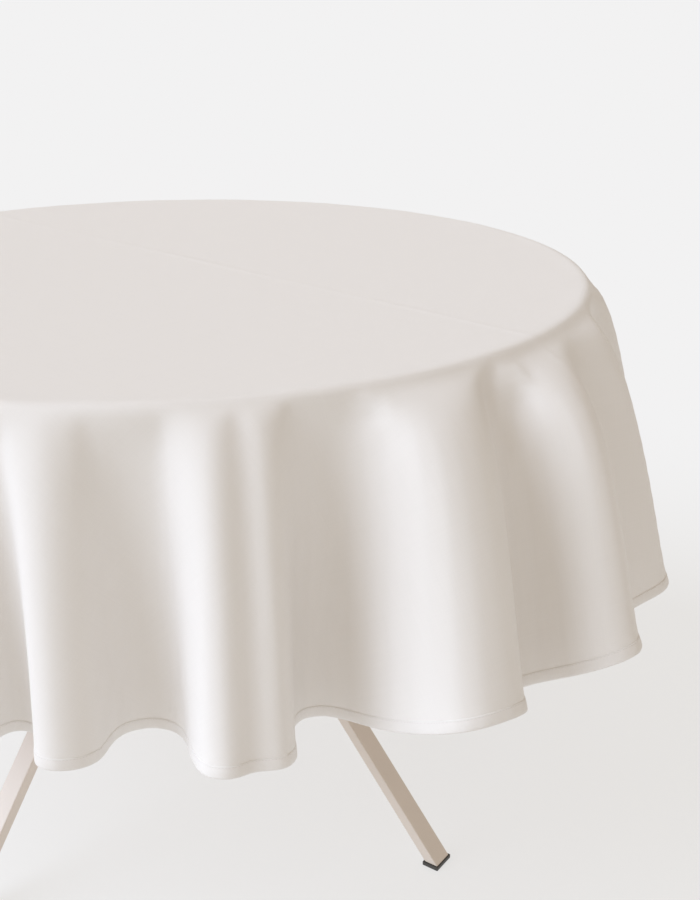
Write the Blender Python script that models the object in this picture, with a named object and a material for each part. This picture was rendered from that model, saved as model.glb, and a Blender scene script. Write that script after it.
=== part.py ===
"""Round table with a draped tablecloth.

Metres, +Z up. The origin is on the floor under the middle of the table.
The table is a round board on four steel legs that cross at a hub. The cloth is a round
one that rests on the board and hangs past its rim in folds.
"""
import math

import bmesh
import bpy
from mathutils import Matrix, Vector

# Board
BOARD_RADIUS = 0.55
BOARD_THICKNESS = 0.025
BOARD_EDGE_RADIUS = 0.008
TABLE_HEIGHT = 0.75
BOARD_SIDES = 96
EDGE_STEPS = 3

# Gap between solids that touch on the real object
GAP = 0.0003

# Cloth
CLOTH_RADIUS = 0.90
CLOTH_THICKNESS = 0.001
HEM_WIDTH = 0.012
HEM_EXTRA = 0.0004
SKIRT_ROWS = 3
CLOTH_STEPS = 180

# Each fold, in order round the cloth: the azimuth of its ridge in degrees, how far the ridge
# flares out past the rim at the hem, and the same two for the valley that follows it.
FOLDS = (
    (-93.0, 0.055, -85.0, 0.004),
    (-77.0, 0.088, -68.5, 0.004),
    (-58.0, 0.137, -46.0, 0.070),
    (-39.5, 0.180, -28.0, 0.090),
    (-23.4, 0.125, -16.0, 0.020),
    (-8.0, 0.115, 1.0, 0.012),
    (10.0, 0.100, 19.0, 0.008),
    (27.0, 0.130, 36.0, 0.030),
    (45.0, 0.150, 53.0, 0.030),
    (61.0, 0.120, 69.0, 0.010),
    (77.0, 0.088, 86.0, 0.004),
    (94.0, 0.060, 102.0, 0.004),
    (111.0, 0.075, 121.0, 0.010),
    (130.0, 0.130, 139.0, 0.030),
    (149.0, 0.150, 158.0, 0.020),
    (169.0, 0.095, 178.0, 0.006),
    (188.0, 0.115, 196.0, 0.012),
    (205.0, 0.120, 215.0, 0.030),
    (226.0, 0.150, 237.0, 0.012),
    (247.0, 0.085, 258.0, 0.004),
)

# Frame. The hub is wide enough for four bars side by side.
LEG_COUNT = 4
LEG_HEADING = -35.0
BAR_WIDTH = 0.030
BAR_DEPTH = 0.015
BAR_EDGE_RADIUS = 0.0015
BAR_WALL = 0.0015
HUB_HEIGHT = 0.524
HUB_RADIUS = BAR_WIDTH / 1.2
HUB_LENGTH = 0.105
HUB_EDGE_RADIUS = 0.001
HUB_WALL = 0.003
HUB_SIDES = 40
FOOT_REACH = 0.443

# Flanges that hold the arms to the board, with two screws in each
FLANGE_LENGTH = 0.090
FLANGE_WIDTH = 0.040
FLANGE_THICKNESS = 0.004
FLANGE_CORNER_RADIUS = 0.006
SCREW_SPACING = 0.070
SCREW_SHANK_RADIUS = 0.0022
SCREW_HEAD_RADIUS = 0.0045
SCREW_HEAD_HEIGHT = 0.0025
SCREW_GRIP = 0.015
SCREW_SIDES = 12

# Glides under the legs
GLIDE_HEIGHT = 0.006
GLIDE_RIM = 0.002
GLIDE_EDGE_RADIUS = 0.0012

FLANGE_TOP = TABLE_HEIGHT - BOARD_THICKNESS - GAP
FLANGE_BOTTOM = FLANGE_TOP - FLANGE_THICKNESS
ARM_TOP = FLANGE_BOTTOM - GAP
LEG_BOTTOM = GLIDE_HEIGHT + GAP
LEG_SLOPE = math.atan2(HUB_HEIGHT, FOOT_REACH)
ARM_REACH = (ARM_TOP - HUB_HEIGHT) / math.tan(LEG_SLOPE)

FINISHES = {
    "board": ((0.62, 0.50, 0.38, 1.0), 0.55, 0.0),
    "steel": ((0.47, 0.40, 0.34, 1.0), 0.45, 0.0),
    "zinc": ((0.55, 0.55, 0.55, 1.0), 0.35, 1.0),
    "glide": ((0.12, 0.11, 0.10, 1.0), 0.60, 0.0),
    "cloth": ((0.85, 0.82, 0.79, 1.0), 0.80, 0.0),
    "hem": ((0.82, 0.79, 0.76, 1.0), 0.80, 0.0),
}


def clear_scene():
    for item in list(bpy.data.objects):
        bpy.data.objects.remove(item, do_unlink=True)


def make_material(node, finish):
    colour, roughness, metallic = FINISHES[finish]
    material = bpy.data.materials.new(node)
    material.use_nodes = True
    shader = material.node_tree.nodes["Principled BSDF"]
    shader.inputs["Base Color"].default_value = colour
    shader.inputs["Roughness"].default_value = roughness
    shader.inputs["Metallic"].default_value = metallic
    return material


def add_node(node, mesh_data, finish, smooth_angle=40.0):
    """Turn a bmesh into one named object with its own material."""
    bmesh.ops.recalc_face_normals(mesh_data, faces=mesh_data.faces)
    mesh = bpy.data.meshes.new(node)
    mesh_data.to_mesh(mesh)
    mesh_data.free()
    mesh.materials.append(make_material(node, finish))
    mesh.shade_smooth()
    mesh.set_sharp_from_angle(angle=math.radians(smooth_angle))
    piece = bpy.data.objects.new(node, mesh)
    bpy.context.scene.collection.objects.link(piece)
    return piece


def add_cutter(name, mesh_data):
    bmesh.ops.recalc_face_normals(mesh_data, faces=mesh_data.faces)
    mesh = bpy.data.meshes.new(name)
    mesh_data.to_mesh(mesh)
    mesh_data.free()
    cutter = bpy.data.objects.new(name, mesh)
    cutter.hide_render = True
    cutter.display_type = "WIRE"
    bpy.context.scene.collection.objects.link(cutter)
    return cutter


def cut(piece, cutter):
    modifier = piece.modifiers.new(cutter.name, "BOOLEAN")
    modifier.operation = "DIFFERENCE"
    modifier.solver = "EXACT"
    modifier.object = cutter


def bevel_edges(mesh_data, edges, radius, segments):
    bmesh.ops.bevel(
        mesh_data,
        geom=edges,
        offset=radius,
        offset_type="OFFSET",
        segments=segments,
        profile=0.5,
        affect="EDGES",
    )


def cylinder(radius, bottom, top, sides):
    """A closed upright cylinder on the Z axis."""
    mesh_data = bmesh.new()
    bmesh.ops.create_cone(
        mesh_data,
        cap_ends=True,
        segments=sides,
        radius1=radius,
        radius2=radius,
        depth=top - bottom,
        matrix=Matrix.Translation((0.0, 0.0, (top + bottom) / 2.0)),
    )
    return mesh_data


def block(size_x, size_y, bottom, top):
    """A closed block centred on the Z axis."""
    mesh_data = bmesh.new()
    bmesh.ops.create_cube(mesh_data, size=1.0)
    bmesh.ops.scale(mesh_data, vec=(size_x, size_y, top - bottom), verts=mesh_data.verts)
    bmesh.ops.translate(mesh_data, vec=(0.0, 0.0, (top + bottom) / 2.0), verts=mesh_data.verts)
    return mesh_data


def turned(profile, sides):
    """A closed solid turned round the Z axis from a profile that starts and ends on the axis."""
    mesh_data = bmesh.new()
    rings = []
    for radius, height in profile:
        if radius == 0.0:
            rings.append([mesh_data.verts.new((0.0, 0.0, height))])
            continue
        ring = []
        for step in range(sides):
            angle = math.tau * step / sides
            ring.append(mesh_data.verts.new((radius * math.cos(angle), radius * math.sin(angle), height)))
        rings.append(ring)
    for upper, lower in zip(rings, rings[1:]):
        join_rings(mesh_data, upper, lower)
    return mesh_data


def join_rings(mesh_data, first, second):
    """Faces between two rings of points, either of which may be a single point."""
    count = max(len(first), len(second))
    for step in range(count):
        following = (step + 1) % count
        corners = []
        for corner in (
            first[step % len(first)],
            first[following % len(first)],
            second[following % len(second)],
            second[step % len(second)],
        ):
            if corner not in corners:
                corners.append(corner)
        mesh_data.faces.new(corners)


def edge_arc(offset):
    """Points of the board's rounded upper edge, moved outwards by an offset: (radius, height)."""
    radius = BOARD_EDGE_RADIUS + offset
    points = []
    for step in range(EDGE_STEPS + 1):
        angle = math.pi / 2.0 * (1.0 - step / EDGE_STEPS)
        points.append((
            BOARD_RADIUS - BOARD_EDGE_RADIUS + radius * math.cos(angle),
            TABLE_HEIGHT - BOARD_EDGE_RADIUS + radius * math.sin(angle),
        ))
    return points


def heading(index):
    return math.radians(LEG_HEADING) + math.tau * index / LEG_COUNT


def screw_places():
    """Where the screws go, as (number, x, y)."""
    places = []
    for index in range(LEG_COUNT):
        turn = Matrix.Rotation(heading(index), 3, "Z")
        for side, shift in enumerate((-SCREW_SPACING / 2.0, SCREW_SPACING / 2.0)):
            spot = turn @ Vector((ARM_REACH, shift, 0.0))
            places.append((2 * index + side + 1, spot.x, spot.y))
    return places


def make_board():
    upper = edge_arc(0.0)
    bottom = TABLE_HEIGHT - BOARD_THICKNESS
    profile = [(0.0, TABLE_HEIGHT)] + upper
    for radius, height in reversed(upper):
        profile.append((radius, bottom + TABLE_HEIGHT - height))
    profile.append((0.0, bottom))
    board = add_node("tabletop", turned(profile, BOARD_SIDES), "board")
    for number, x, y in screw_places():
        hole_top = FLANGE_TOP + SCREW_GRIP - FLANGE_THICKNESS + GAP
        hole = cylinder(SCREW_SHANK_RADIUS + GAP, bottom - GAP, hole_top, SCREW_SIDES)
        bmesh.ops.translate(hole, vec=(x, y, 0.0), verts=hole.verts)
        cut(board, add_cutter(f"pilot_hole_cutter_{number}", hole))


def make_flanges():
    for index in range(LEG_COUNT):
        plate = block(FLANGE_WIDTH, FLANGE_LENGTH, FLANGE_BOTTOM, FLANGE_TOP)
        upright = [edge for edge in plate.edges if abs(edge.verts[0].co.z - edge.verts[1].co.z) > GAP]
        bevel_edges(plate, upright, FLANGE_CORNER_RADIUS, 3)
        turn = Matrix.Rotation(heading(index), 4, "Z")
        bmesh.ops.translate(plate, vec=(ARM_REACH, 0.0, 0.0), verts=plate.verts)
        bmesh.ops.transform(plate, matrix=turn, verts=plate.verts)
        flange = add_node(f"flange_{index + 1}", plate, "steel")
        for number, x, y in screw_places()[2 * index:2 * index + 2]:
            hole = cylinder(SCREW_SHANK_RADIUS + GAP, FLANGE_BOTTOM - GAP, FLANGE_TOP + GAP, SCREW_SIDES)
            bmesh.ops.translate(hole, vec=(x, y, 0.0), verts=hole.verts)
            cut(flange, add_cutter(f"flange_hole_cutter_{number}", hole))


def make_screws():
    under_head = FLANGE_BOTTOM - GAP
    profile = (
        (0.0, under_head + SCREW_GRIP),
        (SCREW_SHANK_RADIUS * 0.5, under_head + SCREW_GRIP - SCREW_SHANK_RADIUS),
        (SCREW_SHANK_RADIUS, under_head + SCREW_GRIP - 2.0 * SCREW_SHANK_RADIUS),
        (SCREW_SHANK_RADIUS, under_head),
        (SCREW_HEAD_RADIUS, under_head),
        (SCREW_HEAD_RADIUS, under_head - SCREW_HEAD_HEIGHT * 0.5),
        (SCREW_HEAD_RADIUS * 0.7, under_head - SCREW_HEAD_HEIGHT),
        (0.0, under_head - SCREW_HEAD_HEIGHT),
    )
    for number, x, y in screw_places():
        screw = turned(profile, SCREW_SIDES)
        bmesh.ops.translate(screw, vec=(x, y, 0.0), verts=screw.verts)
        add_node(f"flange_screw_{number}", screw, "zinc")


def make_hub():
    bottom = HUB_HEIGHT - HUB_LENGTH / 2.0
    top = HUB_HEIGHT + HUB_LENGTH / 2.0
    tube = cylinder(HUB_RADIUS, bottom, top, HUB_SIDES)
    rims = [edge for edge in tube.edges if abs(edge.verts[0].co.z - edge.verts[1].co.z) < GAP]
    bevel_edges(tube, rims, HUB_EDGE_RADIUS, 2)
    hub = add_node("hub", tube, "steel")
    bore = cylinder(HUB_RADIUS - HUB_WALL, bottom - HUB_WALL, top + HUB_WALL, HUB_SIDES)
    cut(hub, add_cutter("hub_bore_cutter", bore))


def sloping_bar(depth, width, edge_radius, slope, height_change):
    """A bar in the X-Z plane that runs outwards from the hub's centre, longer than it needs to be."""
    reach = height_change / math.sin(abs(slope)) + BAR_DEPTH * 4.0
    bar = block(depth, width, 0.0, reach)
    if edge_radius > 0.0:
        along = [edge for edge in bar.edges if abs(edge.verts[0].co.z - edge.verts[1].co.z) > GAP]
        bevel_edges(bar, along, edge_radius, 2)
    tilt = Matrix.Rotation(math.pi / 2.0 - slope, 4, "Y")
    bmesh.ops.transform(bar, matrix=Matrix.Translation((0.0, 0.0, HUB_HEIGHT)) @ tilt, verts=bar.verts)
    return bar


def bar_bore(slope, height_change):
    """The hollow of a bar, which runs out past both of its ends."""
    return sloping_bar(
        BAR_DEPTH - 2.0 * BAR_WALL,
        BAR_WIDTH - 2.0 * BAR_WALL,
        0.0,
        slope,
        height_change + BAR_DEPTH,
    )


def slice_off(mesh_data, height, keep_below):
    """Cut a solid level at a height and close the cut."""
    direction = (0.0, 0.0, 1.0) if keep_below else (0.0, 0.0, -1.0)
    geometry = mesh_data.verts[:] + mesh_data.edges[:] + mesh_data.faces[:]
    cut_result = bmesh.ops.bisect_plane(
        mesh_data,
        geom=geometry,
        plane_co=(0.0, 0.0, height),
        plane_no=direction,
        clear_outer=True,
    )
    rim = [item for item in cut_result["geom_cut"] if isinstance(item, bmesh.types.BMEdge)]
    bmesh.ops.holes_fill(mesh_data, edges=rim, sides=0)


def make_bars():
    """The four legs below the hub and the four arms above it."""
    kinds = (("leg", -LEG_SLOPE, LEG_BOTTOM), ("arm", LEG_SLOPE, ARM_TOP))
    for index in range(LEG_COUNT):
        turn = Matrix.Rotation(heading(index), 4, "Z")
        for name, slope, end_height in kinds:
            height_change = abs(HUB_HEIGHT - end_height)
            bar = sloping_bar(BAR_DEPTH, BAR_WIDTH, BAR_EDGE_RADIUS, slope, height_change)
            slice_off(bar, end_height, keep_below=slope > 0.0)
            bmesh.ops.transform(bar, matrix=turn, verts=bar.verts)
            piece = add_node(f"{name}_{index + 1}", bar, "steel")
            bore = bar_bore(slope, height_change)
            bmesh.ops.transform(bore, matrix=turn, verts=bore.verts)
            cut(piece, add_cutter(f"{name}_bore_cutter_{index + 1}", bore))
            seat = cylinder(HUB_RADIUS + GAP, HUB_HEIGHT - HUB_LENGTH, HUB_HEIGHT + HUB_LENGTH, HUB_SIDES)
            cut(piece, add_cutter(f"{name}_seat_cutter_{index + 1}", seat))


def make_glides():
    centre = (HUB_HEIGHT - LEG_BOTTOM) / math.tan(LEG_SLOPE)
    length = BAR_DEPTH / math.sin(LEG_SLOPE) + 2.0 * GLIDE_RIM
    for index in range(LEG_COUNT):
        glide = block(length, BAR_WIDTH + 2.0 * GLIDE_RIM, 0.0, GLIDE_HEIGHT)
        bevel_edges(glide, glide.edges[:], GLIDE_EDGE_RADIUS, 2)
        bmesh.ops.translate(glide, vec=(centre, 0.0, 0.0), verts=glide.verts)
        bmesh.ops.transform(glide, matrix=Matrix.Rotation(heading(index), 4, "Z"), verts=glide.verts)
        add_node(f"glide_{index + 1}", glide, "glide")


def fold_points():
    """Ridges and valleys in order of azimuth, once round, with the first repeated at the end."""
    points = []
    for ridge, ridge_flare, valley, valley_flare in FOLDS:
        points.append((ridge, ridge_flare))
        points.append((valley, valley_flare))
    points.append((FOLDS[0][0] + 360.0, FOLDS[0][1]))
    return points


def flare_at(azimuth, points):
    """How far the hem stands out past the rim at an azimuth in degrees."""
    turned_azimuth = (azimuth - points[0][0]) % 360.0 + points[0][0]
    for (start, start_flare), (end, end_flare) in zip(points, points[1:]):
        if turned_azimuth <= end:
            share = (turned_azimuth - start) / (end - start)
            blend = 0.5 - 0.5 * math.cos(math.pi * share)
            return start_flare + (end_flare - start_flare) * blend
    return points[-1][1]


def skirt_point(azimuth, flare, rim_radius, share):
    """A point of the hanging cloth: share 0 is at the rim, and share 1 is at the hem."""
    length = CLOTH_RADIUS - BOARD_RADIUS
    drop = math.sqrt(length ** 2 - flare ** 2)
    radius = rim_radius + flare * share
    angle = math.radians(azimuth)
    height = TABLE_HEIGHT - BOARD_EDGE_RADIUS - drop * share
    return Vector((radius * math.cos(angle), radius * math.sin(angle), height))


def skirt_ring(mesh_data, offset, share, points):
    ring = []
    for step in range(CLOTH_STEPS):
        azimuth = 360.0 * step / CLOTH_STEPS
        flare = flare_at(azimuth, points)
        ring.append(mesh_data.verts.new(skirt_point(azimuth, flare, BOARD_RADIUS + offset, share)))
    return ring


def cloth_sheet(mesh_data, offset, hem_share, points):
    """One side of the cloth, from its middle to its lower edge, as a list of rings."""
    arc = edge_arc(offset)
    rings = [[mesh_data.verts.new((0.0, 0.0, arc[0][1]))]]
    for radius, height in arc[:-1]:
        ring = []
        for step in range(CLOTH_STEPS):
            angle = math.tau * step / CLOTH_STEPS
            ring.append(mesh_data.verts.new((radius * math.cos(angle), radius * math.sin(angle), height)))
        rings.append(ring)
    for row in range(SKIRT_ROWS + 1):
        rings.append(skirt_ring(mesh_data, offset, hem_share * row / SKIRT_ROWS, points))
    for upper, lower in zip(rings, rings[1:]):
        join_rings(mesh_data, upper, lower)
    return rings


def hem_start():
    return 1.0 - HEM_WIDTH / (CLOTH_RADIUS - BOARD_RADIUS)


def make_cloth():
    points = fold_points()
    panel = bmesh.new()
    outer = cloth_sheet(panel, GAP + CLOTH_THICKNESS, hem_start(), points)
    inner = cloth_sheet(panel, GAP, hem_start(), points)
    join_rings(panel, outer[-1], inner[-1])
    add_node("tablecloth_panel", panel, "cloth", 60.0)


def make_hem():
    points = fold_points()
    hem = bmesh.new()
    first = hem_start() + 2.0 * GAP / (CLOTH_RADIUS - BOARD_RADIUS)
    inside = GAP - HEM_EXTRA
    outside = GAP + CLOTH_THICKNESS + HEM_EXTRA
    loops = (
        skirt_ring(hem, outside, first, points),
        skirt_ring(hem, outside, 1.0, points),
        skirt_ring(hem, inside, 1.0, points),
        skirt_ring(hem, inside, first, points),
    )
    for near, far in zip(loops, loops[1:] + loops[:1]):
        join_rings(hem, near, far)
    add_node("hem_band", hem, "hem", 60.0)


def main():
    clear_scene()
    make_board()
    make_flanges()
    make_screws()
    make_hub()
    make_bars()
    make_glides()
    make_cloth()
    make_hem()


main()
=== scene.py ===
"""Looks of a round table under a tablecloth: the draped cloth, its hem and stitching, and the
finishes of the table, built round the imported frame."""
import math

import bpy
import numpy as np
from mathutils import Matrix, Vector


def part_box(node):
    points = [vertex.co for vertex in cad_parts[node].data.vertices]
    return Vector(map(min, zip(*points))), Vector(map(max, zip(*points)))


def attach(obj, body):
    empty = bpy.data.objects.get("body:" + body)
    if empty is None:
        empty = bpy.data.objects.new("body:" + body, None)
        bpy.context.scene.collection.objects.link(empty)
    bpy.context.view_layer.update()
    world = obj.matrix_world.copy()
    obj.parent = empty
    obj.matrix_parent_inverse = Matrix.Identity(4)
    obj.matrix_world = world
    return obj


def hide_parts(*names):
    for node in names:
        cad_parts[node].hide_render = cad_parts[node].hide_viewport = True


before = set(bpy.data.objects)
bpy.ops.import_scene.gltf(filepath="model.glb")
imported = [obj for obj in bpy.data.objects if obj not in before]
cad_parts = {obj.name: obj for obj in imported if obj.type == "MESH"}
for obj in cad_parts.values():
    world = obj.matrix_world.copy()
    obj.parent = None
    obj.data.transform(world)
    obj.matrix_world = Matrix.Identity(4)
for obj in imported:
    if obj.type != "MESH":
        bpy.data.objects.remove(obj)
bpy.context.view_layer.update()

# Sizes are in metres and angles in degrees.
BOARD_LOW, BOARD_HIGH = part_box("tabletop")
BOARD_RADIUS = (BOARD_HIGH.x - BOARD_LOW.x) / 2
BOARD_TOP = BOARD_HIGH.z
BOARD_UNDERSIDE = BOARD_LOW.z
BOARD_EDGE_RADIUS = 0.008

CLOTH_RADIUS = 0.90
CLOTH_THICKNESS = 0.0008
CLOTH_REST = 0.0011                       # middle of the cloth above the board
CLOTH_DROP = CLOTH_RADIUS - BOARD_RADIUS
SECTORS = 480
HELD_RADIUS = 0.521                       # the cloth lies still inside this
RIM_RINGS = (0.490, 0.505, 0.520, 0.530, 0.537, 0.542, 0.547, 0.552, 0.558, 0.566, 0.575)
RING_SPACING = 0.012
TOP_RINGS = (0.12, 0.24, 0.34, 0.42)      # rings of the flat middle
GRAIN_ANGLE = -43.0                       # the thread direction, from +X
THREAD_PITCH = 0.00048
WEAVE_DEPTH = 0.00020
CREASE_WIDTH = 0.009
CREASE_DEPTH = 0.0012
# Each crease's thread direction, its distance from the middle, and its strength.
STORAGE_CREASES = ((1, 0.062, 1.0), (1, -0.36, 0.35), (0, 0.02, 0.45), (0, 0.43, 0.3))
CLOTH_COLOUR = (0.872, 0.842, 0.810)
HEM_PAINTED_SHADE = 0.985                         # painted shade: the doubled edge's colour is made a little darker than the cloth's

# Each fold line: its azimuth at the rim, its azimuth at the hem, and how far the hem stands out
# from the board's side there. Crests and valleys take two to four lines each.
FOLD_LINES = (
    (-98.8, -99.4, -0.018), (-95.8, -96.6, 0.034), (-93.2, -93.8, 0.050), (-90.8, -91.0, 0.036),
    (-88.6, -88.8, -0.006), (-86.0, -86.0, -0.020), (-83.0, -82.8, -0.016), (-81.2, -81.4, 0.040),
    (-79.2, -79.6, 0.080), (-77.6, -78.0, 0.096), (-75.4, -76.0, 0.060), (-73.2, -74.0, 0.094),
    (-71.4, -72.4, 0.080), (-69.8, -71.2, 0.000), (-67.4, -68.6, -0.022), (-64.4, -66.2, 0.000),
    (-61.6, -63.6, 0.078), (-59.0, -61.6, 0.158), (-56.6, -59.2, 0.160), (-52.0, -54.0, 0.164),
    (-49.8, -51.6, 0.104), (-47.4, -49.6, 0.066), (-44.8, -47.6, 0.086), (-41.6, -46.2, 0.180),
    (-38.4, -43.0, 0.190), (-34.6, -37.4, 0.120), (-31.4, -31.6, 0.088), (-27.8, -27.0, 0.112),
    (-24.8, -24.0, 0.130), (-21.6, -20.6, 0.106), (-17.0, -16.4, 0.022), (-13.4, -13.0, 0.026),
    (-9.4, -9.4, 0.086), (-6.2, -6.2, 0.084), (0.0, 0.0, 0.012), (4.0, 4.0, 0.018),
    (8.6, 8.6, 0.092), (12.2, 12.2, 0.090), (18.0, 18.0, 0.010), (22.0, 22.0, 0.028),
    (25.8, 25.8, 0.116), (29.4, 29.4, 0.118), (34.6, 34.6, 0.036), (38.4, 38.4, 0.040),
    (43.0, 43.0, 0.134), (47.0, 47.0, 0.132), (52.0, 52.0, 0.036), (55.6, 55.6, 0.040),
    (59.6, 59.6, 0.108), (63.0, 63.0, 0.106), (68.0, 68.0, 0.012), (72.0, 72.0, 0.018),
    (75.8, 75.8, 0.084), (79.6, 79.6, 0.080), (85.0, 85.0, 0.002), (89.0, 89.0, 0.008),
    (92.6, 92.6, 0.064), (96.0, 96.0, 0.062), (101.0, 101.0, 0.002), (105.4, 105.4, 0.018),
    (109.4, 109.4, 0.080), (113.0, 113.0, 0.078), (119.0, 119.0, 0.008), (123.6, 123.6, 0.028),
    (128.4, 128.4, 0.120), (132.4, 132.4, 0.118), (137.6, 137.6, 0.034), (142.0, 142.0, 0.038),
    (147.4, 147.4, 0.136), (151.4, 151.4, 0.134), (157.0, 157.0, 0.022), (161.6, 161.6, 0.032),
    (167.0, 167.0, 0.094), (171.0, 171.0, 0.092), (176.6, 176.6, 0.008), (181.2, 181.2, 0.022),
    (186.4, 186.4, 0.106), (190.2, 190.2, 0.104), (195.4, 195.4, 0.014), (199.4, 199.4, 0.028),
    (203.6, 203.6, 0.112), (207.4, 207.4, 0.110), (213.6, 213.6, 0.032), (218.6, 218.6, 0.046),
    (224.0, 224.0, 0.136), (228.4, 228.4, 0.134), (236.2, 235.4, 0.016), (239.8, 240.2, 0.026),
    (245.4, 245.4, 0.080), (249.0, 249.0, 0.076), (252.8, 252.8, 0.004), (255.2, 255.2, 0.042),
    (257.2, 257.2, 0.042), (259.8, 259.4, -0.012),
)

FLARE_POWER = 0.55                        # under 1, so that the folds open close to the rim
MOST_SLOPE = 0.97                         # the hung start's steepest lean outwards or inwards

# How the cloth settles.
STEP_TIME = 1 / 60                        # in seconds
GRAVITY = 9.81
STEPS = 60
PULLS_A_STEP = 8
BENDING_ROUND = ((2, 0.20), (4, 0.15), (8, 0.03))  # each link's length in points, and stiffness
BENDING_DOWN = ((2, 0.30), (4, 0.20))
SHEAR_STIFFNESS = 0.5
THREAD_STIFFNESS = 1.0
STEADYING = 0.30                          # how strongly each step draws it to the planned folds
DAMPING = 0.97
GRIP = 0.6                                # the share of its sliding that the board stops
TOP_SPEED = 1.5
SKIRT_REACH = 0.994                       # how far a point may hang, as a share of its cloth

HEM_WIDTH = 0.012
HEM_PUFF = 0.0006
HEM_STATIONS = 1600
STITCH_PITCH = 0.0030
STITCH_LENGTH = 0.0022
STITCH_RADIUS = 0.00022
STITCH_SINK = 0.0003                      # how deep a stitch's ends go into the cloth
STITCH_SIDES = 5
STITCH_HEIGHT = 0.0104                    # of the stitch line above the hem's edge

STAVE_WIDTH = 0.09                        # of the strips glued up into the board
PALE_WOOD = (0.62, 0.43, 0.26, 1)
DARK_WOOD = (0.40, 0.245, 0.13, 1)
RED_WOOD = (0.50, 0.32, 0.18, 1)

FLOOR_REACH = 150.0
FLOOR_COLOUR = (0.25, 0.25, 0.25, 1)
FLOOR_GLOW = 0.655
SURROUND_COLOUR = (1.0, 0.88, 0.74, 1)
SURROUND_STRENGTH = 0.56
LIGHT_COLOUR = (0.88, 1.00, 1.20)
LIGHT_STRENGTH = 2.25
LIGHT_SPREAD = 45                         # how broad the light looks from the table
LIGHT_LEAN, LIGHT_TURN = 53, -74          # from straight overhead, and round +Z
CAMERA_PLACE = (0.2423, -1.5563, 1.0995)
CAMERA_DIP = 21.195                       # below level
CAMERA_LENS = 48                          # in millimetres, on a 36 mm sensor


# The draped cloth.

def fold_wave(angles):
    """How far the cloth at these angles leans round on its way to the hem, and its flare there.
    The flare runs smoothly from line to line and never past the crest or valley that they give."""
    lines = np.array(FOLD_LINES)
    wrapped = np.concatenate([lines - (360, 360, 0), lines, lines + (360, 360, 0)])
    rim, hem, flare = wrapped.T
    spot = (angles - lines[0, 0]) % 360 + lines[0, 0]
    hem_azimuth = np.interp(spot, rim, hem)
    width = np.diff(rim)
    slope = np.diff(flare) / width
    tangent = np.zeros(len(rim))
    rising = slope[1:] * slope[:-1] > 0
    mean = 2 * slope[1:] * slope[:-1] / np.where(rising, slope[1:] + slope[:-1], 1)
    tangent[1:-1] = np.where(rising, mean, 0)
    i = np.clip(np.searchsorted(rim, spot, side="right") - 1, 0, len(width) - 1)
    t = (spot - rim[i]) / width[i]
    rise = flare[i] * (1 + 2 * t) * (1 - t) ** 2 + flare[i + 1] * t * t * (3 - 2 * t)
    lean = tangent[i] * t * (1 - t) ** 2 - tangent[i + 1] * t * t * (1 - t)
    return hem_azimuth - spot, rise + lean * width[i]


def ring_radii():
    """Radii of the cloth's rings on its flat cut, from the still part of the top to the hem."""
    last = RIM_RINGS[-1]
    count = round((CLOTH_RADIUS - last) / RING_SPACING)
    skirt = last + (CLOTH_RADIUS - last) * np.arange(1, count + 1) / count
    return np.concatenate([RIM_RINGS, skirt])


def hung_start(rings, angles):
    """The cloth laid on the board and hung straight down into the planned folds."""
    lean, flare = fold_wave(angles)
    points = np.zeros((len(rings), len(angles), 3))
    radius = np.full(len(angles), rings[0])
    height = np.full(len(angles), BOARD_TOP + CLOTH_REST)
    previous = rings[0]
    for k, ring in enumerate(rings):
        share = max(0.0, (ring - BOARD_RADIUS) / CLOTH_DROP)
        if ring <= BOARD_RADIUS - BOARD_EDGE_RADIUS:
            radius = np.full(len(angles), ring)
        else:
            step = ring - previous
            wanted = BOARD_RADIUS + CLOTH_REST + flare * share ** FLARE_POWER
            out = np.clip(wanted - radius, -MOST_SLOPE * step, MOST_SLOPE * step)
            radius = radius + out
            height = height - np.sqrt(step * step - out * out)
        turn = np.radians(angles + lean * share)
        points[k] = np.stack([radius * np.cos(turn), radius * np.sin(turn), height], 1)
        previous = ring
    return points


def colour_steps(count, step):
    """Index groups in which no two links of this length share a point."""
    places = np.arange(count)
    for colour in range(2 * step):
        yield places[((places // step) % 2 == colour % 2) & (places % step == colour // 2)]


def thread_links(rings, held):
    """Groups of links: (first points, second points, flat lengths, how far each end gives way,
    only_pushes). The longer links only push, which is the cloth's stiffness in bending."""
    index = np.arange(len(rings) * SECTORS).reshape(len(rings), SECTORS)
    groups = []

    def keep(first, second, flat, stiffness, only_pushes):
        flat = np.broadcast_to(flat, first.shape).ravel()
        first, second = first.ravel(), second.ravel()
        loose = ~(held[first] & held[second])
        first, second, flat = first[loose], second[loose], flat[loose]
        free_a, free_b = ~held[first] * 1.0, ~held[second] * 1.0
        share = stiffness / (free_a + free_b)
        groups.append((first, second, flat, free_a * share, free_b * share, only_pushes))

    def round_links(step, stiffness, only_pushes):
        flat = 2 * rings * math.sin(math.pi * step / SECTORS)
        for places in colour_steps(SECTORS, step):
            after = (places + step) % SECTORS
            keep(index[:, places], index[:, after], flat[:, None], stiffness, only_pushes)

    def down_links(step, stiffness, only_pushes):
        for places in colour_steps(len(rings) - step, step):
            below = places + step
            flat = rings[below] - rings[places]
            keep(index[places], index[below], flat[:, None], stiffness, only_pushes)

    def slant_links(side, stiffness):
        across = np.roll(index, -side, axis=1)
        for places in colour_steps(len(rings) - 1, 1):
            flat = np.abs(rings[places] - rings[places + 1] * np.exp(2j * math.pi / SECTORS))
            keep(index[places], across[places + 1], flat[:, None], stiffness, False)

    for step, stiffness in BENDING_ROUND:
        round_links(step, stiffness, True)
    for step, stiffness in BENDING_DOWN:
        down_links(step, stiffness, True)
    for side in (1, -1):
        slant_links(side, SHEAR_STIFFNESS)
    round_links(1, THREAD_STIFFNESS, False)
    down_links(1, THREAD_STIFFNESS, False)
    return groups


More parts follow.
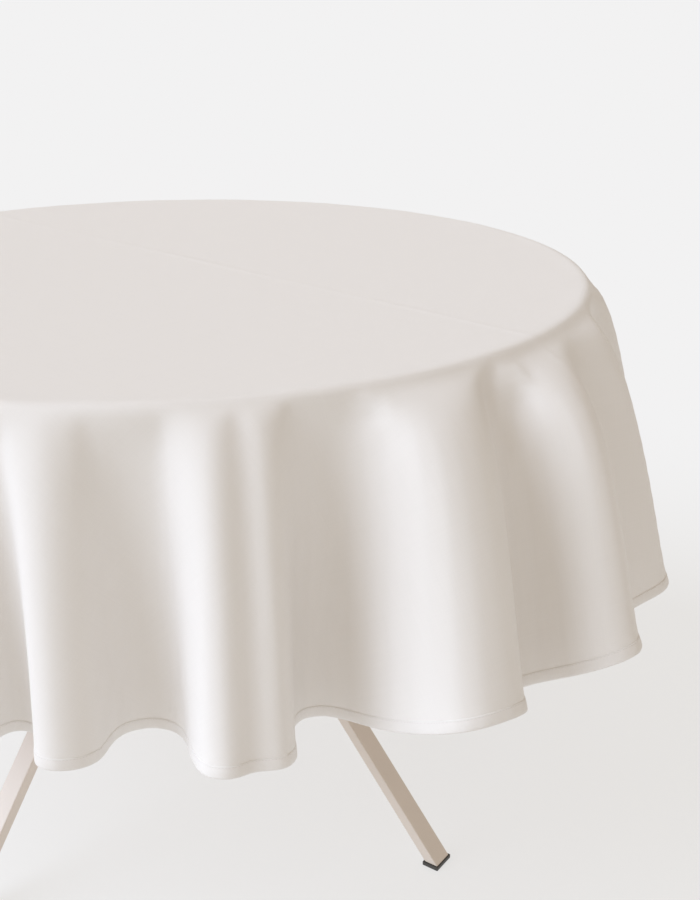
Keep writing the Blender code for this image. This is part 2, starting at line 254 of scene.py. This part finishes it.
def pull_links(points, groups):
    """Brings every link of the cloth nearer its flat length."""
    for first, second, flat, share_a, share_b, only_pushes in groups:
        gap = points[second] - points[first]
        length = np.sqrt(np.einsum("ij,ij->i", gap, gap)) + 1e-12
        over = length - flat
        if only_pushes:
            over = np.minimum(over, 0.0)
        move = (over / length)[:, None] * gap
        points[first] += share_a[:, None] * move
        points[second] -= share_b[:, None] * move


def limit_stretch(points, rings):
    """Keeps each point of the skirt within its own length of cloth from the board's rim."""
    rim = int(np.nonzero(rings <= BOARD_RADIUS)[0][-1])
    grid = points.reshape(len(rings), SECTORS, 3)
    gap = grid[rim + 1:] - grid[rim]
    length = np.linalg.norm(gap, axis=2)
    most = SKIRT_REACH * (rings[rim + 1:] - rings[rim])[:, None]
    grid[rim + 1:] = grid[rim] + gap * np.minimum(1.0, most / length)[:, :, None]


def keep_off_board(points, held):
    """Lifts points out of the board and its rounded edge, and says which ones touched it."""
    radius = np.hypot(points[:, 0], points[:, 1])
    out = radius - (BOARD_RADIUS - BOARD_EDGE_RADIUS)
    up = points[:, 2] - (BOARD_TOP - BOARD_EDGE_RADIUS)
    corner = (out > 0) & (up > 0)
    reach = np.maximum(np.hypot(out, up), 1e-9)
    above = out <= 0
    depth = np.where(corner, reach, np.where(above, up, out)) - BOARD_EDGE_RADIUS
    normal_out = np.where(corner, out / reach, np.where(above, 0.0, 1.0))
    normal_up = np.where(corner, up / reach, np.where(above, 1.0, 0.0))
    touching = np.nonzero((depth < CLOTH_REST) & (points[:, 2] > BOARD_UNDERSIDE) & ~held)[0]
    push = CLOTH_REST - depth[touching]
    side = points[touching, :2] / radius[touching, None]
    points[touching, :2] += (push * normal_out[touching])[:, None] * side
    points[touching, 2] += push * normal_up[touching]
    return touching


def settle_cloth(start, rings, steps):
    """Lets the hung cloth fall and come to rest over the board."""
    held = np.repeat(rings <= HELD_RADIUS, SECTORS)
    groups = thread_links(rings, held)
    planned = start.reshape(-1, 3)
    free = (~held * 1.0)[:, None]
    points = planned.copy()
    speed = np.zeros_like(points)
    for _ in range(steps):
        before = points.copy()
        speed[:, 2] -= GRAVITY * STEP_TIME
        points += (STEADYING * (planned - points) + speed * STEP_TIME) * free
        for _ in range(PULLS_A_STEP):
            pull_links(points, groups)
            limit_stretch(points, rings)
            touching = keep_off_board(points, held)
        points[touching] -= GRIP * (points[touching] - before[touching])
        speed = (points - before) / STEP_TIME * DAMPING
        pace = np.linalg.norm(speed, axis=1)
        speed *= np.minimum(1.0, TOP_SPEED / np.maximum(pace, 1e-9))[:, None]
    return points.reshape(start.shape)


def between_sectors(grid):
    """The grid with a smooth new column between every two."""
    a, b, c, d = (np.roll(grid, shift, axis=1) for shift in (1, 0, -1, -2))
    middle = (9 * (b + c) - a - d) / 16
    return np.stack([grid, middle], 2).reshape(len(grid), -1, 3)


def grid_normals(grid):
    """Outward unit normals of a grid that closes round its second axis."""
    along = np.roll(grid, -1, axis=1) - np.roll(grid, 1, axis=1)
    down = np.gradient(grid, axis=0)
    normal = np.cross(along, -down)
    normal /= np.maximum(np.linalg.norm(normal, axis=2, keepdims=True), 1e-12)
    return normal


def drape_cloth():
    """The middle surface of the draped cloth, its normals and its flat cut, ring by ring."""
    rings = ring_radii()
    angles = 360 * np.arange(SECTORS) / SECTORS
    start = hung_start(rings, angles)
    hung = settle_cloth(start, rings, STEPS)
    hung = between_sectors(hung)
    turns = 2 * math.pi * np.arange(2 * SECTORS) / (2 * SECTORS)
    circle = np.stack([np.cos(turns), np.sin(turns), np.zeros(2 * SECTORS)], 1)
    lying = np.array(TOP_RINGS)[:, None, None] * circle
    surface = np.concatenate([lying + (0, 0, BOARD_TOP + CLOTH_REST), hung])
    flat = np.concatenate([TOP_RINGS, rings])[:, None, None] * circle
    return surface, grid_normals(surface), flat


# Meshes.

def new_piece(name, points, faces, places=None):
    """A smooth mesh object. places gives each point's spot on the flat cut."""
    mesh = bpy.data.meshes.new(name)
    mesh.from_pydata(points.reshape(-1, 3).tolist(), [], faces)
    mesh.polygons.foreach_set("use_smooth", [True] * len(mesh.polygons))
    if places is not None:
        layer = mesh.attributes.new("flat_place", "FLOAT_VECTOR", "POINT")
        layer.data.foreach_set("vector", places.reshape(-1).astype(np.float32))
    mesh.update()
    piece = bpy.data.objects.new(name, mesh)
    bpy.context.scene.collection.objects.link(piece)
    return piece


def strip_faces(rows, columns, first=0, closed_rows=False):
    """Four-sided faces of a grid that closes round its columns."""
    faces = []
    for row in range(rows if closed_rows else rows - 1):
        upper = first + row * columns
        lower = first + (row + 1) % rows * columns
        for column in range(columns):
            after = (column + 1) % columns
            faces.append((upper + column, lower + column, lower + after, upper + after))
    return faces


def make_panel(surface, normals, flat):
    """The cloth itself: an outer and an inner face that meet at the cut edge."""
    rows, columns = surface.shape[:2]
    half = normals * CLOTH_THICKNESS / 2
    outer, inner = surface + half, surface - half
    centre = np.array([[0, 0, BOARD_TOP + CLOTH_REST + CLOTH_THICKNESS / 2]])
    under = centre - (0, 0, CLOTH_THICKNESS)
    count = rows * columns
    points = np.concatenate([outer.reshape(-1, 3), inner.reshape(-1, 3), centre, under])
    places = np.concatenate([flat.reshape(-1, 3), flat.reshape(-1, 3), np.zeros((2, 3))])
    faces = strip_faces(rows, columns)
    faces += [face[::-1] for face in strip_faces(rows, columns, count)]
    edge = count - columns
    for column in range(columns):
        after = (column + 1) % columns
        faces.append((edge + column, count + edge + column, count + edge + after, edge + after))
        faces.append((2 * count, column, after))
        faces.append((2 * count + 1, count + after, count + column))
    return new_piece("cloth_panel", points, faces, places)


def hem_frame(surface, normals, stations):
    """Edge points, the direction up the cloth and outward normals at even steps round the hem."""
    columns = surface.shape[1]
    spots = np.arange(stations) * columns / stations
    low = np.floor(spots).astype(int)
    share = (spots - low)[:, None]

    def at(row):
        return row[low % columns] * (1 - share) + row[(low + 1) % columns] * share

    edge, above = at(surface[-1]), at(surface[-2])
    up = (above - edge) / np.linalg.norm(above - edge, axis=1, keepdims=True)
    normal = at(normals[-1] + normals[-2])
    normal /= np.linalg.norm(normal, axis=1, keepdims=True)
    return edge, up, normal


def hem_swell(stations):
    """How far the hem puffs and puckers between its stitches, from 0 to 1."""
    turn = 2 * math.pi * np.arange(stations) / stations
    slow = np.sin(37 * turn + 1.3) + np.sin(53 * turn + 0.4) + np.sin(89 * turn + 2.2)
    quick = np.sin(311 * turn + 3 * np.sin(17 * turn)) + np.sin(467 * turn + 2 * np.sin(29 * turn))
    return 0.5 + 0.5 * np.tanh(0.45 * slow + 0.45 * quick)


def make_hem(surface, normals):
    """The turned and doubled edge that the stitch line holds, slightly puckered."""
    edge, up, normal = hem_frame(surface, normals, HEM_STATIONS)
    swell = hem_swell(HEM_STATIONS)
    side = CLOTH_THICKNESS / 2
    face = side + CLOTH_THICKNESS * 0.7
    # The outer face, as height above the edge, distance from the cloth's middle and share of puff.
    section = (
        (HEM_WIDTH, side, 0.0), (HEM_WIDTH - 0.0003, face, 0.1), (STITCH_HEIGHT, face * 0.92, 0.0),
        (0.0085, face, 0.6), (0.0050, face, 1.0), (0.0018, face, 0.7), (0.0002, face * 0.9, 0.2),
        (-0.0007, side, 0.0),
    )
    mirrored = [(high, -out, -puff) for high, out, puff in reversed(section)]
    rows = []
    for high, out, puff in [*section, *mirrored]:
        rows.append(edge + up * high + normal * (out + HEM_PUFF * puff * swell)[:, None])
    points = np.array(rows)
    turns = 2 * math.pi * np.arange(HEM_STATIONS) / HEM_STATIONS
    circle = np.stack([np.cos(turns), np.sin(turns), np.zeros(HEM_STATIONS)], 1)
    heights = np.array([high for high, _, _ in [*section, *mirrored]])
    places = (CLOTH_RADIUS - heights)[:, None, None] * circle
    faces = strip_faces(len(rows), HEM_STATIONS, closed_rows=True)
    return new_piece("hem_band_turned", points, faces, places)


def make_stitching(surface, normals):
    """One thread of short stitches on each face of the hem, dipping between them."""
    count = round(2 * math.pi * (CLOTH_RADIUS - STITCH_HEIGHT) / STITCH_PITCH)
    edge, up, normal = hem_frame(surface, normals, count)
    middle = edge + up * STITCH_HEIGHT
    along = np.roll(middle, -1, axis=0) - np.roll(middle, 1, axis=0)
    along /= np.linalg.norm(along, axis=1, keepdims=True)
    reach = STITCH_LENGTH / 2
    depth = CLOTH_THICKNESS * 1.1
    # Each stitch's rounds, as place along it, share of its radius and rise from the cloth.
    rounds = (
        (-reach, 0.35, -STITCH_SINK), (-reach * 0.55, 1.0, 0.0),
        (reach * 0.55, 1.0, 0.0), (reach, 0.35, -STITCH_SINK),
    )
    points, faces = [], []
    for face_side in (1, -1):
        raised = normal * face_side
        across = np.cross(along, raised)
        for place in range(count):
            first = len(points)
            for offset, width, rise in rounds:
                centre = middle[place] + along[place] * offset + raised[place] * (depth + rise)
                for corner in range(STITCH_SIDES):
                    turn = 2 * math.pi * corner / STITCH_SIDES
                    spoke = across[place] * math.cos(turn) + raised[place] * math.sin(turn)
                    points.append(centre + spoke * STITCH_RADIUS * width)
            for row in range(len(rounds) - 1):
                for corner in range(STITCH_SIDES):
                    a = first + row * STITCH_SIDES + corner
                    b = first + row * STITCH_SIDES + (corner + 1) % STITCH_SIDES
                    faces.append((a, a + STITCH_SIDES, b + STITCH_SIDES, b))
            faces.append(tuple(first + corner for corner in range(STITCH_SIDES)))
            last = first + (len(rounds) - 1) * STITCH_SIDES
            faces.append(tuple(last + corner for corner in reversed(range(STITCH_SIDES))))
    return new_piece("hem_stitching", np.array(points), faces)


# Materials.

def add(tree, kind, inputs=None, **settings):
    """Adds a node, sets its options and fills its inputs with values or other nodes' outputs."""
    item = tree.nodes.new(kind)
    for name, value in settings.items():
        setattr(item, name, value)
    for name, value in (inputs or {}).items():
        if isinstance(value, bpy.types.NodeSocket):
            tree.links.new(value, item.inputs[name])
        else:
            item.inputs[name].default_value = value
    return item


def work(tree, operation, a, b=0.5, c=0.0):
    """The output of one Math node."""
    return add(tree, "ShaderNodeMath", {0: a, 1: b, 2: c}, operation=operation).outputs[0]


def blended(tree, factor, a, b):
    """A colour between two colours."""
    return add(tree, "ShaderNodeMix", {0: factor, 6: a, 7: b}, data_type="RGBA").outputs[2]


def new_group(name, inputs, outputs):
    """A shader node group with these named sockets: (group, its input node, its output node)."""
    group = bpy.data.node_groups.new(name, "ShaderNodeTree")
    for label, kind, value in inputs:
        socket = group.interface.new_socket(label, in_out="INPUT", socket_type=kind)
        if value is not None:
            socket.default_value = value
    for label, kind in outputs:
        group.interface.new_socket(label, in_out="OUTPUT", socket_type=kind)
    return group, group.nodes.new("NodeGroupInput"), group.nodes.new("NodeGroupOutput")


def plain_weave_group():
    """Plain weave: each thread passes over one and under the next, and threads vary in thickness."""
    group, given, made = new_group(
        "plain_weave",
        (("Place", "NodeSocketVector", None), ("Thread Pitch", "NodeSocketFloat", 0.0005)),
        (("Height", "NodeSocketFloat"), ("Thread Tone", "NodeSocketFloat"), ("Gap Shade", "NodeSocketFloat")),
    )
    per_thread = work(group, "DIVIDE", 1.0, given.outputs["Thread Pitch"])
    scaled = add(group, "ShaderNodeVectorMath", {0: given.outputs["Place"], "Scale": per_thread},
                 operation="SCALE")
    split = add(group, "ShaderNodeSeparateXYZ", {0: scaled.outputs[0]})
    wave_x = work(group, "SINE", work(group, "MULTIPLY", split.outputs[0], math.pi))
    wave_y = work(group, "SINE", work(group, "MULTIPLY", split.outputs[1], math.pi))
    over = work(group, "MULTIPLY_ADD", work(group, "MULTIPLY", wave_x, wave_y), 0.9, 0.5)
    over = add(group, "ShaderNodeClamp", {0: over}).outputs[0]
    warp, weft = work(group, "ABSOLUTE", wave_x), work(group, "ABSOLUTE", wave_y)
    mixed = work(group, "MULTIPLY_ADD", over, work(group, "SUBTRACT", warp, weft), weft)
    tones = []
    for across, along in ((1.0, 0.012), (0.012, 1.0)):
        stretched = add(group, "ShaderNodeVectorMath", {0: scaled.outputs[0], 1: (across, along, 1.0)},
                        operation="MULTIPLY")
        noise = add(group, "ShaderNodeTexNoise", {
            "Vector": stretched.outputs[0], "Scale": 0.35, "Detail": 2.0}, noise_dimensions="2D")
        tones.append(noise.outputs["Fac"])
    group.links.new(mixed, made.inputs["Height"])
    group.links.new(work(group, "MULTIPLY", work(group, "ADD", *tones), 0.5), made.inputs["Thread Tone"])
    # the gaps between threads, as a mask for painted shade in the cloth's colour
    group.links.new(work(group, "POWER", work(group, "SUBTRACT", 1.0, mixed), 3.0), made.inputs["Gap Shade"])
    return group


def fold_crease_group():
    """Faint creases left by folding the cloth for storage: straight lines along its threads."""
    group, given, made = new_group(
        "fold_creases",
        (("Place", "NodeSocketVector", None), ("Width", "NodeSocketFloat", 0.008)),
        (("Height", "NodeSocketFloat"),),
    )
    split = add(group, "ShaderNodeSeparateXYZ", {0: given.outputs["Place"]})
    drift = add(group, "ShaderNodeTexNoise", {
        "Vector": given.outputs["Place"], "Scale": 6.0, "Detail": 1.0}, noise_dimensions="2D")
    total = None
    for side, offset, weight in STORAGE_CREASES:
        shifted = work(group, "MULTIPLY_ADD", drift.outputs["Fac"], 0.006, offset - 0.003)
        away = work(group, "ABSOLUTE", work(group, "SUBTRACT", split.outputs[side], shifted))
        near = work(group, "SUBTRACT", 1.0, work(group, "DIVIDE", away, given.outputs["Width"]))
        soft = work(group, "SMOOTH_MAX", near, 0.0, 0.3)
        part = work(group, "MULTIPLY", soft, weight)
        total = part if total is None else work(group, "ADD", total, part)
    fading = add(group, "ShaderNodeTexNoise", {
        "Vector": given.outputs["Place"], "Scale": 3.1, "Detail": 1.0}, noise_dimensions="2D")
    total = work(group, "MULTIPLY", total, fading.outputs["Fac"])
    group.links.new(total, made.inputs["Height"])
    return group


def fine_relief_group():
    """A fine surface grain with broader scuffs, for lacquer, powder coat, plastic and zinc."""
    group, given, made = new_group(
        "fine_relief",
        (("Place", "NodeSocketVector", None), ("Grain Size", "NodeSocketFloat", 0.001),
         ("Scuff Size", "NodeSocketFloat", 0.03)),
        (("Height", "NodeSocketFloat"), ("Scuffs", "NodeSocketFloat"), ("Tone", "NodeSocketFloat")),
    )
    grain_scale = work(group, "DIVIDE", 1.0, given.outputs["Grain Size"])
    grain = add(group, "ShaderNodeTexNoise", {
        "Vector": given.outputs["Place"], "Scale": grain_scale, "Detail": 2.0})
    scuff_scale = work(group, "DIVIDE", 1.0, given.outputs["Scuff Size"])
    scuffs = add(group, "ShaderNodeTexNoise", {
        "Vector": given.outputs["Place"], "Scale": scuff_scale, "Detail": 6.0, "Roughness": 0.7})
    mask = add(group, "ShaderNodeMapRange", {
        "Value": scuffs.outputs["Fac"], "From Min": 0.56, "From Max": 0.74})
    tone_scale = work(group, "MULTIPLY", scuff_scale, 0.3)
    tone = add(group, "ShaderNodeTexNoise", {
        "Vector": given.outputs["Place"], "Scale": tone_scale, "Detail": 2.0})
    group.links.new(grain.outputs["Fac"], made.inputs["Height"])
    group.links.new(mask.outputs[0], made.inputs["Scuffs"])
    group.links.new(tone.outputs["Fac"], made.inputs["Tone"])
    return group


def placed_group(tree, group, inputs):
    """One use of a node group in a material."""
    return add(tree, "ShaderNodeGroup", inputs, node_tree=group)


def new_material(name, **constants):
    """A material's node tree and its Principled shader, with constant inputs set on the sockets."""
    material = bpy.data.materials.new(name)
    material.use_nodes = True
    tree = material.node_tree
    shader = tree.nodes["Principled BSDF"]
    for label, value in constants.items():
        shader.inputs[label.replace("_", " ")].default_value = value
    return material, tree, shader


def toned_pair(colour, low, high):
    """Two tones of a colour, as RGBA."""
    return [(*(channel * share for channel in colour), 1.0) for share in (low, high)]


def cloth_material(name, base, weave, creases, crease_depth):
    """White-grey polyester plain weave with a soft sheen, and painted shade darkening the gaps between
    its threads.
    """
    material, tree, shader = new_material(
        name, Sheen_Weight=0.18, Sheen_Roughness=0.45, Sheen_Tint=(1.0, 0.98, 0.96, 1.0),
        Specular_IOR_Level=0.30)
    place = add(tree, "ShaderNodeAttribute", attribute_name="flat_place")
    turned = add(tree, "ShaderNodeVectorRotate", {
        "Vector": place.outputs["Vector"], "Angle": -math.radians(GRAIN_ANGLE)}, rotation_type="Z_AXIS")
    threads = placed_group(tree, weave, {"Place": turned.outputs[0], "Thread Pitch": THREAD_PITCH})
    pressed = placed_group(tree, creases, {"Place": turned.outputs[0], "Width": CREASE_WIDTH})
    toned = blended(tree, threads.outputs["Thread Tone"], *toned_pair(base, 0.975, 1.015))
    # painted shade: the gaps between threads are darkened towards a deeper tone of the cloth's colour
    gap_shade_share = work(tree, "MULTIPLY", threads.outputs["Gap Shade"], 0.35)
    gap_shade_colour = (*(channel * 0.72 for channel in base), 1.0)
    tree.links.new(blended(tree, gap_shade_share, toned, gap_shade_colour), shader.inputs["Base Color"])
    rough = work(tree, "MULTIPLY_ADD", threads.outputs["Thread Tone"], -0.18, 0.78)
    tree.links.new(rough, shader.inputs["Roughness"])
    crease_bump = add(tree, "ShaderNodeBump", {
        "Height": pressed.outputs["Height"], "Distance": crease_depth, "Strength": 0.6})
    thread_bump = add(tree, "ShaderNodeBump", {
        "Height": threads.outputs["Height"], "Distance": WEAVE_DEPTH, "Strength": 0.5,
        "Normal": crease_bump.outputs[0]})
    tree.links.new(thread_bump.outputs[0], shader.inputs["Normal"])
    return material


def thread_material(relief):
    """Sewing thread: twisted polyester, a little shinier than the cloth."""
    material, tree, shader = new_material("sewing_thread", Sheen_Weight=0.2, Sheen_Roughness=0.3)
    place = add(tree, "ShaderNodeTexCoord").outputs["Object"]
    fine = placed_group(tree, relief, {"Place": place, "Grain Size": 0.0004, "Scuff Size": 0.02})
    colour = blended(tree, fine.outputs["Height"], (0.66, 0.62, 0.58, 1), (0.84, 0.81, 0.78, 1))
    tree.links.new(colour, shader.inputs["Base Color"])
    roughness = work(tree, "MULTIPLY_ADD", fine.outputs["Tone"], 0.2, 0.45)
    tree.links.new(roughness, shader.inputs["Roughness"])
    bump = add(tree, "ShaderNodeBump", {"Height": fine.outputs["Height"], "Distance": 0.0001})
    tree.links.new(bump.outputs[0], shader.inputs["Normal"])
    return material


def coated_material(name, relief, base, worn, grain_size, scuff_size, rough, depth, coat=0.0, metal=0.0):
    """Powder coat, moulded plastic or zinc: a fine grain, a shifting tone and scuffed patches."""
    material, tree, shader = new_material(name, Coat_Weight=coat, Coat_Roughness=0.25, Metallic=metal)
    place = add(tree, "ShaderNodeTexCoord").outputs["Object"]
    fine = placed_group(tree, relief, {
        "Place": place, "Grain Size": grain_size, "Scuff Size": scuff_size})
    toned = blended(tree, fine.outputs["Tone"], *toned_pair(base, 0.93, 1.07))
    scuffed = work(tree, "MULTIPLY", fine.outputs["Scuffs"], 0.35)
    tree.links.new(blended(tree, scuffed, toned, (*worn, 1.0)), shader.inputs["Base Color"])
    roughness = work(tree, "MULTIPLY_ADD", fine.outputs["Scuffs"], 0.15, rough)
    tree.links.new(roughness, shader.inputs["Roughness"])
    bump = add(tree, "ShaderNodeBump", {
        "Height": fine.outputs["Height"], "Distance": depth, "Strength": 0.5})
    tree.links.new(bump.outputs[0], shader.inputs["Normal"])
    return material


def board_material(relief):
    """Clear-lacquered pale wood, the grain running along X in glued staves."""
    material, tree, shader = new_material("lacquered_wood", Coat_Weight=0.35, Coat_Roughness=0.18)
    place = add(tree, "ShaderNodeTexCoord").outputs["Object"]
    split = add(tree, "ShaderNodeSeparateXYZ", {0: place})
    stave = work(tree, "FLOOR", work(tree, "DIVIDE", split.outputs[1], STAVE_WIDTH))
    scattered = work(tree, "FRACT", work(tree, "MULTIPLY", work(tree, "SINE", stave), 43.7))
    shift = work(tree, "MULTIPLY", scattered, 3.0)
    drawn_out = work(tree, "MULTIPLY_ADD", split.outputs[0], 0.09, shift)
    moved = add(tree, "ShaderNodeCombineXYZ", {
        0: drawn_out, 1: split.outputs[1], 2: split.outputs[2]})
    years = add(tree, "ShaderNodeTexWave", {
        "Vector": moved.outputs[0], "Scale": 34.0, "Distortion": 5.0, "Detail": 3.0, "Detail Scale": 1.6,
        "Detail Roughness": 0.65}, wave_type="BANDS", bands_direction="Y")
    fibre = add(tree, "ShaderNodeTexNoise", {"Vector": moved.outputs[0], "Scale": 700.0, "Detail": 3.0})
    fine = placed_group(tree, relief, {"Place": place, "Grain Size": 0.0012, "Scuff Size": 0.05})
    figure = work(tree, "MULTIPLY", years.outputs["Fac"], 0.45)
    grain = work(tree, "MULTIPLY_ADD", fibre.outputs["Fac"], 0.45, figure)
    wood = blended(tree, grain, PALE_WOOD, DARK_WOOD)
    tint = work(tree, "MULTIPLY", work(tree, "FRACT", work(tree, "MULTIPLY", stave, 0.618)), 0.30)
    tree.links.new(blended(tree, tint, wood, RED_WOOD), shader.inputs["Base Color"])
    roughness = work(tree, "MULTIPLY_ADD", fine.outputs["Scuffs"], 0.15, 0.38)
    tree.links.new(roughness, shader.inputs["Roughness"])
    bump = add(tree, "ShaderNodeBump", {"Height": grain, "Distance": 0.0002, "Strength": 0.4})
    tree.links.new(bump.outputs[0], shader.inputs["Normal"])
    return material


def floor_material():
    """A plain matt studio floor, lit from below like a light table to soften the shadow."""
    material, _, _ = new_material(
        "studio_floor", Specular_IOR_Level=0.0, Roughness=1.0, Base_Color=FLOOR_COLOUR,
        Emission_Color=(1.0, 1.0, 1.0, 1), Emission_Strength=FLOOR_GLOW)
    return material


def dress(item, material):
    """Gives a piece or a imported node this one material."""
    if item.data.materials:
        for place in range(len(item.data.materials)):
            item.material_slots[place].material = material
    else:
        item.data.materials.append(material)


# The studio.

def make_floor():
    """A pale floor that runs out of sight."""
    mesh = bpy.data.meshes.new("floor")
    far = FLOOR_REACH
    corners = [(-far, -far, 0), (far, -far, 0), (far, far, 0), (-far, far, 0)]
    mesh.from_pydata(corners, [], [(0, 1, 2, 3)])
    floor = bpy.data.objects.new("floor", mesh)
    bpy.context.scene.collection.objects.link(floor)
    dress(floor, floor_material())


def light_studio():
    """A warm, even surround and one broad cool light from the left."""
    scene = bpy.context.scene
    world = bpy.data.worlds.new("surround")
    world.use_nodes = True
    background = world.node_tree.nodes["Background"]
    background.inputs["Color"].default_value = SURROUND_COLOUR
    background.inputs["Strength"].default_value = SURROUND_STRENGTH
    scene.world = world
    lamp = bpy.data.lights.new("broad_light", "SUN")
    lamp.energy = LIGHT_STRENGTH
    lamp.angle = math.radians(LIGHT_SPREAD)
    lamp.color = LIGHT_COLOUR
    holder = bpy.data.objects.new("broad_light", lamp)
    holder.rotation_euler = (math.radians(LIGHT_LEAN), 0, math.radians(LIGHT_TURN))
    scene.collection.objects.link(holder)
    scene.view_settings.view_transform = "Standard"


def place_camera():
    """A camera just above table height, close to the cloth's right side."""
    camera = bpy.data.cameras.new("camera")
    camera.lens = CAMERA_LENS
    camera.sensor_width = 36
    holder = bpy.data.objects.new("camera", camera)
    holder.location = CAMERA_PLACE
    holder.rotation_euler = (math.radians(90 - CAMERA_DIP), 0, 0)
    bpy.context.scene.collection.objects.link(holder)
    bpy.context.scene.camera = holder


# Making it.

place_camera()
light_studio()
make_floor()

surface, normals, flat = drape_cloth()
panel = make_panel(surface, normals, flat)
hem = make_hem(surface, normals)
stitching = make_stitching(surface, normals)

weave = plain_weave_group()
creases = fold_crease_group()
relief = fine_relief_group()
# painted shade: the hem takes the cloth's colour made a little darker
hem_shaded_colour = tuple(HEM_PAINTED_SHADE * channel for channel in CLOTH_COLOUR)
dress(panel, cloth_material("tablecloth_weave", CLOTH_COLOUR, weave, creases, CREASE_DEPTH))
dress(hem, cloth_material("hem_weave", hem_shaded_colour, weave, creases, 0.0))
dress(stitching, thread_material(relief))

FINISHES = {
    "wood": board_material(relief),
    "steel": coated_material(
        "taupe_powder_coat", relief, base=(0.80, 0.73, 0.665), worn=(0.84, 0.77, 0.70),
        grain_size=0.0011, scuff_size=0.05, rough=0.42, depth=0.00010, coat=0.1),
    "zinc": coated_material(
        "zinc_plate", relief, base=(0.62, 0.63, 0.64), worn=(0.50, 0.50, 0.49),
        grain_size=0.0006, scuff_size=0.006, rough=0.30, depth=0.00008, metal=1.0),
    "plastic": coated_material(
        "moulded_plastic", relief, base=(0.060, 0.058, 0.055), worn=(0.16, 0.155, 0.15),
        grain_size=0.0005, scuff_size=0.008, rough=0.48, depth=0.00012),
}
NODE_FINISHES = (
    ("tabletop", "wood"), ("flange_screw", "zinc"), ("glide", "plastic"), ("flange", "steel"),
    ("hub", "steel"), ("leg", "steel"), ("arm", "steel"),
)
for name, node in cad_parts.items():
    for start, finish in NODE_FINISHES:
        if name.startswith(start):
            dress(node, FINISHES[finish])
            break

for piece in (panel, hem, stitching):
    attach(piece, "tablecloth")
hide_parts("tablecloth_panel")
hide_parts("hem_band")
